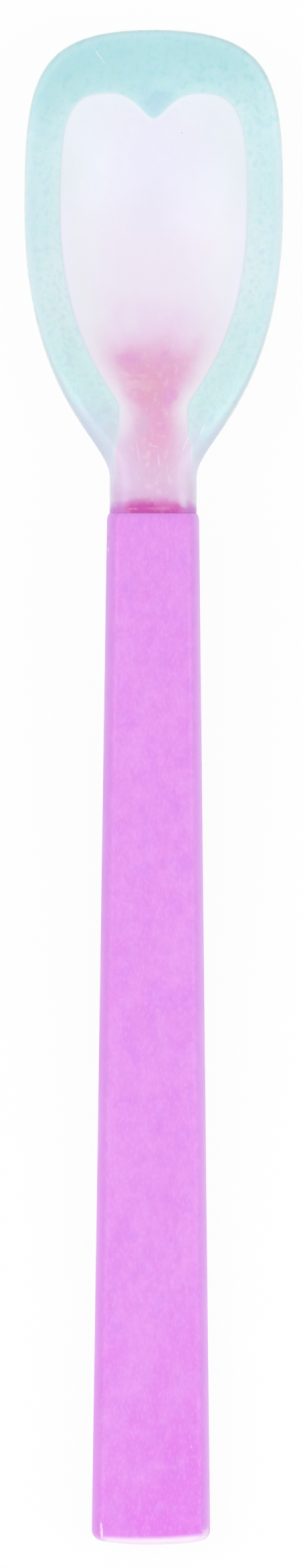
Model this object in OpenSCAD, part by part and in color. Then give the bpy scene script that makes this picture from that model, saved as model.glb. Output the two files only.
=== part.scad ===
// Baby feeding spoon: a coloured handle moulded over the shank of a clear core,
// whose heart-shaped blade carries a soft rim round the bowl.
// The bowl's tip points along +Y and its hollow faces +Z. The spoon lies on Z = 0
// with its middle over the origin. Lengths are in millimetres, angles in degrees.

/* [Bowl] */
// Length from the tip to the straight neck
bowl_len = 44.2; // [40:0.2:50]
// Width at the widest place
bowl_w = 25.6; // [23.6:0.1:29]
// Distance from the tip back to the widest place
bowl_wide_at = 17.4; // [15:0.2:20]
// Depth of the middle of the wall below the rim line
bowl_depth = 6.6; // [5.4:0.1:8]
// Thickness of the wall
bowl_wall = 2.2; // [1.8:0.1:2.8]
// Reach of the rounded lip in from the edge
lip_reach = 1; // [0.6:0.1:1.4]
// Rise of the rim line at the tip
tip_rise = 0.8; // [0:0.1:1.6]
// Distance from the tip back to where the wall starts to thicken
thick_from = 26; // [22:0.5:32]
// Distance ahead of the neck where the lip starts to fill out
fill_ahead = 12; // [8:0.5:16]

/* [Bowl curves] */
// Flatness of the tip
tip_flatness = 0.94; // [0.84:0.01:0.97]
// Straightness of the sides ahead of the widest place
side_flatness = 0.72; // [0.6:0.01:0.8]
// Fullness of the sides behind the widest place
heel_fullness = 0.72; // [0.6:0.01:0.78]
// Softness of the turn into the neck
neck_turn = 0.14; // [0.08:0.01:0.25]

/* [Heart] */
// Distance from the tip back to the notch
notch_at = 8.5; // [7.5:0.1:10]
// Distance from the tip back to the tops of the lobes
lobe_at = 6.1; // [5:0.1:7]
// Distance of each lobe's top from the middle
lobe_x = 4.4; // [3.8:0.1:5.2]
// Width of the heart
heart_w = 18.6; // [16:0.1:19.6]
// Distance from the tip back to the heart's widest place
heart_wide_at = 17.7; // [16:0.1:20]
// Width of the waist at the heart's point
waist_w = 6.8; // [6:0.1:8]
// Distance of the waist ahead of the neck
waist_ahead = 6.8; // [5:0.1:8]

/* [Heart curves] */
// Softness of the notch
notch_softness = 0.22; // [0.15:0.01:0.45]
// Flatness of the lobes towards the notch
lobe_flatness = 0.61; // [0.45:0.01:0.7]
// Flatness of the lobes towards the sides
lobe_shoulder = 0.86; // [0.5:0.01:0.9]
// Straightness of the heart's sides ahead of its widest place
heart_side = 0.79; // [0.6:0.01:0.9]
// Fullness of the heart behind its widest place
heart_fullness = 0.68; // [0.5:0.01:0.75]
// Softness of the turn into the waist
waist_turn = 0.07; // [0.05:0.01:0.2]
// Softness of the flare from the waist to the neck
neck_flare = 0.7; // [0.5:0.01:0.8]

/* [Soft rim] */
// Width of the rim's thin ends beside the neck
rim_end_w = 0.35; // [0.25:0.05:0.6]
// Distance of the rim's ends ahead of the neck
rim_end_ahead = 0.3; // [0.2:0.1:2]
// Reach of the core's tongue into the rim's groove
tongue_reach = 1; // [0.6:0.1:1.4]
// Thickness of the tongue
tongue_t = 0.7; // [0.5:0.1:0.9]
// Gap in the bond between the rim and the core
bond_gap = 0.03; // [0.02:0.01:0.05]

/* [Neck] */
// Width of the neck
neck_w = 8.6; // [7.8:0.1:9.6]
// Thickness of the neck
neck_t = 5; // [4.4:0.1:5.6]
// Length of the straight neck between the bowl and the handle
neck_len = 3.6; // [2:0.2:8]
// Height of the neck's middle above the rim line
neck_rise = 0.4; // [0:0.1:1.5]
// Reach of the neck's rounded sides
neck_edge = 2.2; // [1.6:0.1:2.8]

/* [Handle] */
// Length of the handle
handle_len = 102.2; // [90:0.2:120]
// Step from the neck out to the handle on every side
mouth_step = 0.25; // [0.2:0.05:0.5]
// Length of the handle's rounding at its mouth
mouth_round = 0.9; // [0.6:0.1:2]
// Width of the handle at its far end
end_w = 11.8; // [10.5:0.1:14]
// Thickness of the handle at its far end
end_t = 4.6; // [4:0.1:5.4]
// Reach of the handle's rounded sides
side_edge = 1.3; // [0.9:0.1:1.8]
// Radius of the end's corners seen from above
end_corner = 1.2; // [1:0.1:2.5]
// Radius of the end's upper and lower edges
end_round = 1; // [0.6:0.1:1.6]
// Bow of the end seen from above
end_bow = 0.3; // [0.1:0.05:0.6]
// Length of the level heel that the handle lies on
heel_len = 18; // [14:0.5:24]
// Depth of the flat cut under the heel
heel_flat = 0.12; // [0.08:0.02:0.2]

/* [Shank] */
// Length of the core's shank inside the handle
shank_len = 32; // [24:0.5:42]
// Width of the shank at the neck
shank_w = 4.2; // [3.6:0.1:5]
// Thickness of the shank at the neck
shank_t = 2.2; // [1.8:0.1:2.6]
// Loss of width and thickness along the shank
shank_taper = 0.4; // [0.2:0.05:0.6]
// Reach of the shank's rounded sides
shank_edge = 0.8; // [0.5:0.1:1.1]
// Number of locking ribs round the shank
rib_count = 3; // [1:1:4]
// Height of each rib
rib_h = 0.35; // [0.2:0.05:0.5]
// Length of each rib
rib_len = 2.4; // [1.6:0.1:3.2]
// Length of the boss that the handle sends into the neck round the shank
boss_len = 1.3; // [0.8:0.1:2]
// Wall of the boss
boss_wall = 0.55; // [0.4:0.05:0.7]
// Gap between the core and the handle wherever they fit
fit_gap = 0.05; // [0.02:0.01:0.08]

/* [Hidden] */

// Steps along each curve of the heart, across the blade and along the handle
lobe_steps = 6;
side_steps = 8;
taper_steps = 14;
flare_steps = 7;
blade_steps = 5;
flat_steps = 3;
handle_steps = 26;
outline_steps = 60;
round_angles = [0:15:90];

// Angles of the points round a bar's side, from its upper to its lower face
side_angles = [64, 42, 20, 6, -6, -20, -42, -64];
// Angles of the points round the lip, from its upper to its lower face, as shares of a quarter turn
lip_shares = [0.75, 0.5, 0.25, 0, -0.25, -0.5, -0.75];

// Place on the tip's outline, as a share of its curve, that faces the top of a lobe
lobe_facing = 0.16;
// Place on the first curve of the heart where the blade's first section stands
notch_start = 0.08;
// Most of the soft rim's width that the tongue or the lip's flat may take
tongue_share = 0.4;
lip_share = 0.7;
// Length over which the bow at the handle's end fades out
bow_reach = 5;
// Share of a rib's length that each of its slopes takes
rib_slope = 0.25;

half_w = bowl_w / 2;
neck_half = neck_w / 2;
heart_half = heart_w / 2;
waist_half = waist_w / 2;
back_len = bowl_len - bowl_wide_at;
waist_at = bowl_len - waist_ahead;
rim_end_at = bowl_len - rim_end_ahead;
mouth_at = bowl_len + neck_len;
end_at = mouth_at + handle_len;
tip_y = end_at / 2;

rim_z = bowl_depth + bowl_wall / 2;
neck_z = rim_z + neck_rise;
heel_z = end_t / 2 - heel_flat;
heel_at = end_at - heel_len;
mouth_w = neck_w + 2 * mouth_step;
mouth_t = neck_t + 2 * mouth_step;

function mix(a, b, share) = a + (b - a) * share;
function unit(v) = v / norm(v);
function backwards(list) = [for (i = [len(list) - 1:-1:0]) list[i]];

// Point at share t of the cubic curve from a to d with handles at b and c
function curve(a, b, c, d, t) =
    pow(1 - t, 3) * a + 3 * pow(1 - t, 2) * t * b + 3 * (1 - t) * t * t * c + t * t * t * d;

// Smooth rise from 0 to 1 while v goes from a to b
function ease(a, b, v) = (1 - cos(180 * max(0, min(1, (v - a) / (b - a))))) / 2;

// Drop of a rounding at distance s from its end
function round_off(s, reach, drop) = s >= reach ? 0 : drop * (1 - sqrt(1 - pow(1 - s / reach, 2)));

// Plan points are [half width, distance back from the tip]; this gives one its height
function place(p, z) = [p.x, tip_y - p.y, z];

// Half outline of the bowl, from the tip to the widest place and on to the neck
function outline_front(t) =
    curve([0, 0], [tip_flatness * half_w, 0],
          [half_w, bowl_wide_at * (1 - side_flatness)], [half_w, bowl_wide_at], t);
function outline_back(t) =
    curve([half_w, bowl_wide_at], [half_w, bowl_wide_at + heel_fullness * back_len],
          [neck_half, bowl_len - neck_turn * back_len], [neck_half, bowl_len], t);

outline_table = [
    for (i = [0:outline_steps]) let (p = outline_front(i / outline_steps)) [p.y, p.x],
    for (i = [1:outline_steps]) let (p = outline_back(i / outline_steps)) [p.y, p.x]
];
function half_width(d) = lookup(d, outline_table);

// Half outline of the heart: notch to lobe, lobe to side, side to waist, waist to neck
rim_end_x = half_width(rim_end_at) - rim_end_w;
function notch_curve(t) =
    curve([0, notch_at], [lobe_x * notch_softness, notch_at],
          [lobe_x * (1 - lobe_flatness), lobe_at], [lobe_x, lobe_at], t);
function lobe_curve(t) =
    curve([lobe_x, lobe_at], [mix(lobe_x, heart_half, lobe_shoulder), lobe_at],
          [heart_half, mix(heart_wide_at, lobe_at, heart_side)], [heart_half, heart_wide_at], t);
function taper_curve(t) =
    curve([heart_half, heart_wide_at], [heart_half, mix(heart_wide_at, waist_at, heart_fullness)],
          [waist_half, mix(waist_at, heart_wide_at, waist_turn)], [waist_half, waist_at], t);
function flare_curve(t) =
    curve([waist_half, waist_at], [waist_half, mix(waist_at, rim_end_at, neck_flare)],
          [rim_end_x, mix(rim_end_at, waist_at, neck_flare)], [rim_end_x, rim_end_at], t);

// Heights along the bowl: rim line, dish below it, wall and reach of the rounded edge
function rim_line(d) =
    rim_z + tip_rise * pow(max(0, 1 - d / bowl_wide_at), 2) + neck_rise * ease(bowl_wide_at, bowl_len, d);
function dish(d) =
    bowl_depth * (d < bowl_wide_at ? 1 - pow(1 - d / bowl_wide_at, 2) : 1 - ease(bowl_wide_at, bowl_len, d));
function wall(d) = mix(bowl_wall, neck_t, ease(thick_from, bowl_len, d));
function edge_reach(d) = mix(lip_reach, neck_edge, ease(bowl_len - fill_ahead, bowl_len, d));

// Middle of the wall at a plan point
function sheet(p) = rim_line(p.y) - dish(p.y) * (1 - pow(p.x / max(half_width(p.y), lip_reach / 10), 2));

// Upper (side 1) or lower (side -1) face at a plan point that lies q inside the outline
function skin(p, q, side) =
    sheet(p) + side * wall(p.y) / 2 * sqrt(1 - pow(1 - min(1, max(0, q / edge_reach(p.y))), 2));

// Sections of the bowl: [point on the middle line, point on the heart, point on the outline]
first_y = notch_curve(notch_start).y;
front_steps = lobe_steps + side_steps;
function front_spine(i) = [0, mix(first_y, heart_wide_at, (i + 1) / (front_steps + 1))];
function level_section(p) = [[0, p.y], p, [half_width(p.y), p.y]];
sections = [
    for (i = [0:lobe_steps])
        let (t = max(notch_start, i / lobe_steps))
        [front_spine(i), notch_curve(t), outline_front(lobe_facing * t)],
    for (i = [1:side_steps])
        let (t = i / side_steps)
        [front_spine(lobe_steps + i), lobe_curve(t), outline_front(mix(lobe_facing, 1, t))],
    for (i = [1:taper_steps]) level_section(taper_curve(i / taper_steps)),
    for (i = [1:flare_steps]) level_section(flare_curve(i / flare_steps))
];

// The tongue's depth in one section
function tongue_in(s) = min(tongue_reach, tongue_share * norm(s[2] - s[1]));

// Half section of the blade: upper face, tongue, lower face
function blade_half(s) =
    let (width = norm(s[2] - s[1]))
    let (tip = s[1] + tongue_in(s) * unit(s[2] - s[1]))
    let (row = [for (i = [0:blade_steps]) mix(s[0], s[1], i / blade_steps)])
    concat(
        [for (p = row) place(p, skin(p, width + norm(s[1] - p), 1))],
        [place(s[1], sheet(s[1]) + tongue_t / 2),
         place(tip, sheet(tip) + tongue_t / 2),
         place(tip, sheet(tip) - tongue_t / 2),
         place(s[1], sheet(s[1]) - tongue_t / 2)],
        [for (i = [blade_steps:-1:0])
            place(row[i], skin(row[i], width + norm(s[1] - row[i]), -1))]
    );

// Half section of the neck at distance d from the tip, on the bowl's own faces
function neck_half_section(d) =
    let (half = half_width(d))
    let (reach = edge_reach(d))
    let (flat = [for (i = [0:flat_steps]) [(half - reach) * i / flat_steps, d]])
    concat(
        [for (p = flat) place(p, skin(p, half - p.x, 1))],
        [for (a = side_angles)
            let (p = [half - reach * (1 - cos(a)), d])
            place(p, skin(p, half - p.x, sign(a)))],
        [for (i = [flat_steps:-1:0]) place(flat[i], skin(flat[i], half - flat[i].x, -1))]
    );

// Half section of a flat bar with rounded sides, bowed back by bow at its sides
function bar_half(d, z, half, thick, reach, bow = 0) =
    let (flat = [for (i = [0:flat_steps]) (half - reach) * i / flat_steps])
    concat(
        [for (x = flat) place([x, d - bow * pow(x / half, 2)], z + thick / 2)],
        [for (a = side_angles)
            let (x = half - reach * (1 - cos(a)))
            place([x, d - bow * pow(x / half, 2)], z + thick / 2 * sin(a))],
        [for (i = [flat_steps:-1:0])
            place([flat[i], d - bow * pow(flat[i] / half, 2)], z - thick / 2)]
    );

// Handle: level at the mouth, level again over the heel
function handle_mid(d) = mix(neck_z, heel_z, ease(mouth_at, heel_at, d));
function handle_half(d) =
    mix(mouth_w, end_w, (d - mouth_at) / handle_len) / 2
    - round_off(d - mouth_at, mouth_round, mouth_step)
    - round_off(end_at - d, end_corner, end_corner);
function handle_thick(d) =
    mix(mouth_t, end_t, ease(mouth_at, heel_at, d))
    - 2 * round_off(d - mouth_at, mouth_round, mouth_step)
    - 2 * round_off(end_at - d, end_round, end_round);
function handle_section(d) =
    bar_half(d, handle_mid(d), handle_half(d), handle_thick(d), side_edge,
             end_bow * max(0, 1 - (end_at - d) / bow_reach));
handle_stops = [
    for (a = round_angles) mouth_at + mouth_round * (1 - cos(a)),
    for (i = [1:handle_steps]) mix(mouth_at + mouth_round, end_at - end_corner, i / handle_steps),
    for (a = round_angles) if (a > 0) end_at - end_corner * (1 - sin(a))
];

// Shank and socket share one shape, with the gap added all round for the socket
rib_pitch = shank_len / (rib_count + 1);
shank_stops = [
    -boss_len,
    for (i = [1:rib_count], share = [0, rib_slope, 1 - rib_slope, 1])
        rib_pitch * i + rib_len * (share - 0.5),
    shank_len
];
function on_rib(s) =
    max([for (i = [1:rib_count]) abs(s - rib_pitch * i) < rib_len / 2 - rib_len * rib_slope / 2 ? 1 : 0]);
function shank_section(s, gap) =
    let (grow = 2 * gap + 2 * rib_h * on_rib(s) - shank_taper * max(0, s) / shank_len)
    bar_half(mouth_at + s + (s < shank_len ? 0 : gap), handle_mid(mouth_at + s),
             (shank_w + grow) / 2, shank_t + grow, shank_edge + gap);

// Boss of the handle and the recess for it in the neck, with the gap added for the recess
function boss_section(d, gap) =
    let (grow = 2 * (boss_wall + fit_gap + gap))
    bar_half(d, neck_z, (shank_w + grow) / 2, shank_t + grow, shank_edge + boss_wall + gap);
boss_stops = [mouth_at, mouth_at - boss_len];

// Closed section of the soft rim: upper face, lip, lower face, groove
function rim_ring(s) =
    let (out = unit(s[2] - s[1]))
    let (deep = norm(s[2] - s[1]) - bond_gap)
    let (reach = edge_reach(s[2].y))
    let (flat = min(reach, lip_share * deep))
    let (turn = acos(1 - flat / reach))
    let (foot = s[1] + bond_gap * out)
    let (tip = foot + tongue_in(s) * out)
    let (slot = tongue_t / 2 + bond_gap)
    let (depths = [for (i = [0:flat_steps]) mix(deep, flat, i / flat_steps)])
    concat(
        [for (q = depths) let (p = s[2] - q * out) place(p, skin(p, q, 1))],
        [for (share = lip_shares)
            let (q = reach * (1 - cos(turn * share)))
            let (p = s[2] - q * out)
            place(p, skin(p, q, sign(share)))],
        [for (i = [flat_steps:-1:0])
            let (p = s[2] - depths[i] * out)
            place(p, skin(p, depths[i], -1))],
        [place(foot, sheet(foot) - slot), place(tip, sheet(tip) - slot),
         place(tip, sheet(tip) + slot), place(foot, sheet(foot) + slot)]
    );

// Two triangles across a quad, given by the indices of its corners in order
function quad(a, b, c, d) = [[a, b, c], [a, c, d]];

// Side faces between rings of m points, for the given number of rings. The triangles of two
// pieces that meet share their diagonals when one of them turns its own.
function wraps(rings, m, turned = false) = [
    for (k = [0:rings - 2], i = [0:m - 1])
        let (a = k * m + i)
        let (b = k * m + (i + 1) % m)
        each turned ? quad(b, b + m, a + m, a) : quad(a, b, b + m, a + m)
];

// Solid through half sections that are mirrored across X = 0. The last end is closed from its
// middle, and so is the first, unless it is split into bars from side to side.
module mirrored_loft(halves, split_start = false) {
    n = len(halves[0]);
    m = 2 * n - 2;
    rings = len(halves);
    ring_points = [for (h = halves) each concat(h, [for (i = [n - 2:-1:1]) [-h[i].x, h[i].y, h[i].z]])];
    middles = [for (h = [halves[rings - 1], halves[0]]) (h[0] + h[n - 1]) / 2];
    bars = [[0, m - 1, 1], for (i = [1:n - 3]) each quad(i, m - i, m - i - 1, i + 1), [n - 2, n, n - 1]];
    polyhedron(
        concat(ring_points, split_start ? [middles[0]] : middles),
        concat(
            wraps(rings, m),
            [for (i = [0:m - 1]) [rings * m, rings * m - m + i, rings * m - m + (i + 1) % m]],
            split_start ? bars : [for (i = [0:m - 1]) [rings * m + 1, (i + 1) % m, i]]
        )
    );
}

// Solid through the rim's sections from one end of the rim round the tip to the other
module rim_loft(right) {
    m = len(right[0]);
    left = [for (k = [len(right) - 1:-1:0]) [for (p = right[k]) [-p.x, p.y, p.z]]];
    rings = concat(left, right);
    last = (len(rings) - 1) * m;
    lip = flat_steps + 1 + floor(len(lip_shares) / 2);
    under = 2 * lip;
    end = [
        for (i = [0:lip - 1]) [m - 2, i, i + 1],
        [m - 2, m - 1, 0],
        [m - 2, lip, m - 3],
        for (i = [lip:under - 1]) [m - 3, i, i + 1],
        [m - 3, under, m - 4]
    ];
    polyhedron([for (r = rings) each r], concat(
        wraps(len(rings), m, turned = true),
        [for (f = end) [f[0], f[2], f[1]]],
        [for (f = end) last * [1, 1, 1] + f]
    ));
}

// Rigid handle: the socket from its floor outwards, the boss, then the outer faces to the far end,
// with a flat cut under the heel
module handle() {
    color("#e69aee")
    difference() {
        mirrored_loft(concat(
            [for (s = backwards(shank_stops)) shank_section(s, fit_gap)],
            [for (d = backwards(boss_stops)) boss_section(d, 0)],
            [for (d = handle_stops) handle_section(d)]
        ));
        translate([-end_w, -tip_y - end_bow, -end_t])
            cube([2 * end_w, 2 * heel_len, end_t]);
    }
}

// Clear core: heart-shaped blade, neck, recess for the boss and ribbed shank in one piece
module heart_core() {
    neck_stops = [rim_end_at + bond_gap, mix(rim_end_at, bowl_len, 0.5), bowl_len, mouth_at - fit_gap];
    color("#eee8f4")
    mirrored_loft(concat(
        [for (s = sections) blade_half(s)],
        [for (d = neck_stops) neck_half_section(d)],
        [for (d = boss_stops) boss_section(d - fit_gap, fit_gap)],
        [for (s = shank_stops) shank_section(s < 0 ? s - fit_gap : s, 0)]
    ), split_start = true);
}

// Soft rim: moulded round the blade's tongue, thinning out beside the neck
module soft_rim() {
    color("#c6e6ea")
    rim_loft([for (s = sections) rim_ring(s)]);
}

handle();
heart_core();
soft_rim();
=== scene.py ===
import math

import bpy
import numpy as np
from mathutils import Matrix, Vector


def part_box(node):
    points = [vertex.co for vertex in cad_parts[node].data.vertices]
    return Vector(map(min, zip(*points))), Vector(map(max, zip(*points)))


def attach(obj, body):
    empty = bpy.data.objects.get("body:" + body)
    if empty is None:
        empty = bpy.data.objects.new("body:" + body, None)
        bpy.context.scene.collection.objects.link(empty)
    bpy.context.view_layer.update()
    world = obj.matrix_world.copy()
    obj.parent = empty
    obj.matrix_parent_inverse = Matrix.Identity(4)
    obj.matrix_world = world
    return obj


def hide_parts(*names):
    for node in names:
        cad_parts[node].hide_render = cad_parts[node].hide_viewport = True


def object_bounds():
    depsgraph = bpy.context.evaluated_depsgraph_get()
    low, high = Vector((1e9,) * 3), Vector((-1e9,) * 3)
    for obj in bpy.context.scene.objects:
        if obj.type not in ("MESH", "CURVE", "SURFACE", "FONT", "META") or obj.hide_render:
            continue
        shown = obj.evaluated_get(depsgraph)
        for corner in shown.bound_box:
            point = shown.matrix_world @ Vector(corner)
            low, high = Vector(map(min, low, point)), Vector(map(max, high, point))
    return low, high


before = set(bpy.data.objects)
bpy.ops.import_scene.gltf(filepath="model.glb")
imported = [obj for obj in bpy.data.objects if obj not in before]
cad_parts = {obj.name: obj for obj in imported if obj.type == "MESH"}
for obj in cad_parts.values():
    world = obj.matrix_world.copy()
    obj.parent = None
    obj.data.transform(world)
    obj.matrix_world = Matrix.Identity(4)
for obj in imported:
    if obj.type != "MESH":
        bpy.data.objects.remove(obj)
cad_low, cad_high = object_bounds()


# Clear core: the stiff middle of the spoon, moulded in one shot from clear, slightly milky plastic.
# Its blade is a heart, its neck is a short bar, and its ribbed shank lies hidden in the handle.
# The soft rim is bonded to the heart's edge. Sizes are in millimetres.
MM = 0.001
tip_y = cad_high.y / MM

# The bowl seen from above and from the side. Distances run back from its tip.
bowl_len = 44.2
bowl_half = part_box("soft_rim")[1].x / MM
bowl_wide_at = 17.4
bowl_depth = 6.6
bowl_wall = 2.2
lip_reach = 1.0
tip_rise = 0.8
thick_from = 26.0
fill_ahead = 12.0
tip_flatness = 0.94
side_flatness = 0.72
heel_fullness = 0.72
neck_turn = 0.14

# The heart: its notch, its lobes, and the waist that runs into the neck.
notch_at = 8.5
lobe_at = 6.1
lobe_x = 4.4
heart_half = 9.3
heart_wide_at = 17.7
waist_half = 3.4
waist_ahead = 6.8
waist_at = bowl_len - waist_ahead
notch_softness = 0.22
lobe_flatness = 0.61
lobe_shoulder = 0.86
heart_side = 0.79
heart_fullness = 0.68
waist_turn = 0.07
neck_flare = 0.7

# The rim's ends beside the neck, and the hair's breadth between bonded faces.
rim_end_w = 0.35
rim_end_ahead = 0.3
rim_end_at = bowl_len - rim_end_ahead
bond_gap = 0.005
bond_fade = 1.5

# The neck, up to the handle's mouth.
neck_half = 4.3
neck_thick = 5.0
neck_rise = 0.4
neck_edge = 2.2
neck_len = 3.6
mouth_at = bowl_len + neck_len
rim_z = bowl_depth + bowl_wall / 2
neck_z = rim_z + neck_rise
fit_gap = 0.05

# The shank with its ribs, and the recess for the handle's boss.
shank_len = 32.0
shank_w = 4.2
shank_thick = 2.2
shank_taper = 0.4
shank_edge = 0.8
rib_count = 3
rib_h = 0.35
rib_len = 2.4
rib_slope = 0.25
boss_len = 1.3
boss_wall = 0.55


def mix(a, b, share):
    return a + (b - a) * share


def ease(a, b, v):
    return (1 - np.cos(np.pi * np.clip((v - a) / (b - a), 0, 1))) / 2


def curve(a, b, c, d, t):
    a, b, c, d = (np.array(p, float) for p in (a, b, c, d))
    t = np.asarray(t, float)[..., None]
    return (1 - t) ** 3 * a + 3 * (1 - t) ** 2 * t * b + 3 * (1 - t) * t ** 2 * c + t ** 3 * d


# Plan points are (half width, distance back from the tip).
def outline_front(t):
    side = (bowl_half, bowl_wide_at * (1 - side_flatness))
    return curve((0, 0), (tip_flatness * bowl_half, 0), side, (bowl_half, bowl_wide_at), t)


def outline_back(t):
    back = bowl_len - bowl_wide_at
    full = (bowl_half, bowl_wide_at + heel_fullness * back)
    turn = (neck_half, bowl_len - neck_turn * back)
    return curve((bowl_half, bowl_wide_at), full, turn, (neck_half, bowl_len), t)


outline_shares = np.linspace(0, 1, 400)
outline_points = np.concatenate([outline_front(outline_shares), outline_back(outline_shares[1:])])


def half_width(d):
    return np.interp(d, outline_points[:, 1], outline_points[:, 0])


rim_end_x = half_width(rim_end_at) - rim_end_w


def notch_curve(t):
    soft = (lobe_x * notch_softness, notch_at)
    flat = (lobe_x * (1 - lobe_flatness), lobe_at)
    return curve((0, notch_at), soft, flat, (lobe_x, lobe_at), t)


def lobe_curve(t):
    shoulder = (mix(lobe_x, heart_half, lobe_shoulder), lobe_at)
    side = (heart_half, mix(heart_wide_at, lobe_at, heart_side))
    return curve((lobe_x, lobe_at), shoulder, side, (heart_half, heart_wide_at), t)


def taper_curve(t):
    full = (heart_half, mix(heart_wide_at, waist_at, heart_fullness))
    turn = (waist_half, mix(waist_at, heart_wide_at, waist_turn))
    return curve((heart_half, heart_wide_at), full, turn, (waist_half, waist_at), t)


def flare_curve(t):
    start = (waist_half, mix(waist_at, rim_end_at, neck_flare))
    stop = (rim_end_x, mix(rim_end_at, waist_at, neck_flare))
    return curve((waist_half, waist_at), start, stop, (rim_end_x, rim_end_at), t)


# Heights along the bowl, and its upper (side 1) or lower (side -1) face q inside the outline.
def wall(d):
    return mix(bowl_wall, neck_thick, ease(thick_from, bowl_len, d))


def edge_reach(d):
    return mix(lip_reach, neck_edge, ease(bowl_len - fill_ahead, bowl_len, d))


def sheet(p):
    x, d = p[..., 0], p[..., 1]
    ahead = np.maximum(0, 1 - d / bowl_wide_at) ** 2
    back = ease(bowl_wide_at, bowl_len, d)
    rim_line = rim_z + tip_rise * ahead + neck_rise * back
    dish = bowl_depth * np.where(d < bowl_wide_at, 1 - ahead, 1 - back)
    return rim_line - dish * (1 - (x / np.maximum(half_width(d), lip_reach / 10)) ** 2)


def skin(p, q, side):
    d = p[..., 1]
    inside = np.clip(q / edge_reach(d), 0, 1)
    return sheet(p) + side * wall(d) / 2 * np.sqrt(1 - (1 - inside) ** 2)


def place(p, z):
    return np.stack([p[..., 0], tip_y - p[..., 1], z + 0 * p[..., 0]], axis=-1) * MM


# Sections of the bowl run from its middle line through the heart's edge to the outline.
lobe_facing = 0.16
notch_start = 0.03
lobe_shares = np.linspace(notch_start, 1, 44)
side_shares = np.linspace(0, 1, 56)[1:]
level_points = np.concatenate([
    taper_curve(np.linspace(0, 1, 76)[1:]),
    flare_curve(np.linspace(0, 1, 30)[1:]),
])
level_backs = level_points[:, 1]
fan_share = np.concatenate([1 + 6 * lobe_shares, 7 + 8 * side_shares]) / 15
fan_backs = mix(notch_at, heart_wide_at, fan_share)
spine = np.stack([0 * np.r_[fan_backs, level_backs], np.r_[fan_backs, level_backs]], axis=-1)
heart_edge = np.concatenate([notch_curve(lobe_shares), lobe_curve(side_shares), level_points])
outer_edge = np.concatenate([
    outline_front(lobe_facing * lobe_shares),
    outline_front(mix(lobe_facing, 1, side_shares)),
    np.stack([half_width(level_backs), level_backs], axis=-1),
])
rim_width = np.linalg.norm(outer_edge - heart_edge, axis=-1)

blade_steps = 28
bond_steps = np.linspace(1, -1, 6)[1:-1]
flat_steps = 16
side_turns = np.radians(np.linspace(90, -90, 30)[1:-1])


def blade_half(k):
    row = mix(spine[k], heart_edge[k], np.linspace(0, 1, blade_steps + 1)[:, None])
    inside = np.linalg.norm(heart_edge[k] - row, axis=-1)
    upper = place(row, skin(row, rim_width[k] + inside, 1))
    lower = place(row, skin(row, rim_width[k] + inside, -1))[::-1]
    bond = mix(upper[-1], lower[0], (1 - bond_steps[:, None]) / 2)
    return np.concatenate([upper, bond, lower]), np.r_[inside, 0 * bond_steps, inside[::-1]]


def neck_half_ring(d):
    half = half_width(d)
    flat = np.linspace(0, half - edge_reach(d), flat_steps + 1)
    across = np.r_[flat, half - edge_reach(d) * (1 - np.cos(side_turns)), flat[::-1]]
    side = np.r_[0 * flat + 1, np.sign(side_turns), 0 * flat - 1]
    row = np.stack([across, 0 * across + d], axis=-1)
    beside_rim = rim_end_w * ease(rim_end_at + bond_fade, rim_end_at, d)
    return place(row, skin(row, half - across, side)), np.maximum(0, half - across - beside_rim)


def bar_half(d, z, half, thick, reach, bow=0.0):
    flat = np.linspace(0, half - reach, flat_steps + 1)
    across = np.r_[flat, half - reach * (1 - np.cos(side_turns)), flat[::-1]]
    up = np.r_[0 * flat + 1, np.sin(side_turns), 0 * flat - 1]
    row = np.stack([across, d - bow * (across / half) ** 2], axis=-1)
    return place(row, z + thick / 2 * up), half - across


def shank_half(s, gap):
    pitch = shank_len / (rib_count + 1)
    off_rib = min(abs(s - pitch * i) for i in range(1, rib_count + 1))
    rib = 1 - ease(rib_len / 2 - rib_len * rib_slope, rib_len / 2, off_rib)
    grow = 2 * gap + 2 * rib_h * rib - shank_taper * max(0, s) / shank_len
    d = mouth_at + s + (gap if s >= shank_len else 0)
    mid = handle_mid(mouth_at + s)
    return bar_half(d, mid, (shank_w + grow) / 2, shank_thick + grow, shank_edge + gap)


def boss_half(d, gap):
    grow = 2 * (boss_wall + fit_gap + gap)
    return bar_half(d, neck_z, (shank_w + grow) / 2, shank_thick + grow, shank_edge + boss_wall + gap)


# The handle's middle falls from the neck to the level heel, and the shank follows it.
end_at = tip_y - cad_low.y / MM
heel_len = 18.0
heel_at = end_at - heel_len
end_thick = 4.6
heel_flat = 0.12
heel_z = end_thick / 2 - heel_flat


def handle_mid(d):
    return mix(neck_z, heel_z, ease(mouth_at, heel_at, d))


crease_angle = math.radians(32)


def finish_mesh(name, points, faces, **distances):
    mesh = bpy.data.meshes.new(name)
    mesh.from_pydata([tuple(p) for p in points], [], faces)
    for label, values in distances.items():
        mesh.attributes.new(label, "FLOAT", "POINT").data.foreach_set("value", values)
    mesh.shade_smooth()
    mesh.set_sharp_from_angle(angle=crease_angle)
    mesh.update()
    piece = bpy.data.objects.new(name, mesh)
    bpy.context.scene.collection.objects.link(piece)
    return piece


def wrap_rings(count, size):
    rings = range(count - 1)
    return [
        (k * size + i, (k + 1) * size + i, (k + 1) * size + (i + 1) % size, k * size + (i + 1) % size)
        for k in rings for i in range(size)
    ]


mirror = np.array([-1, 1, 1])


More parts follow.
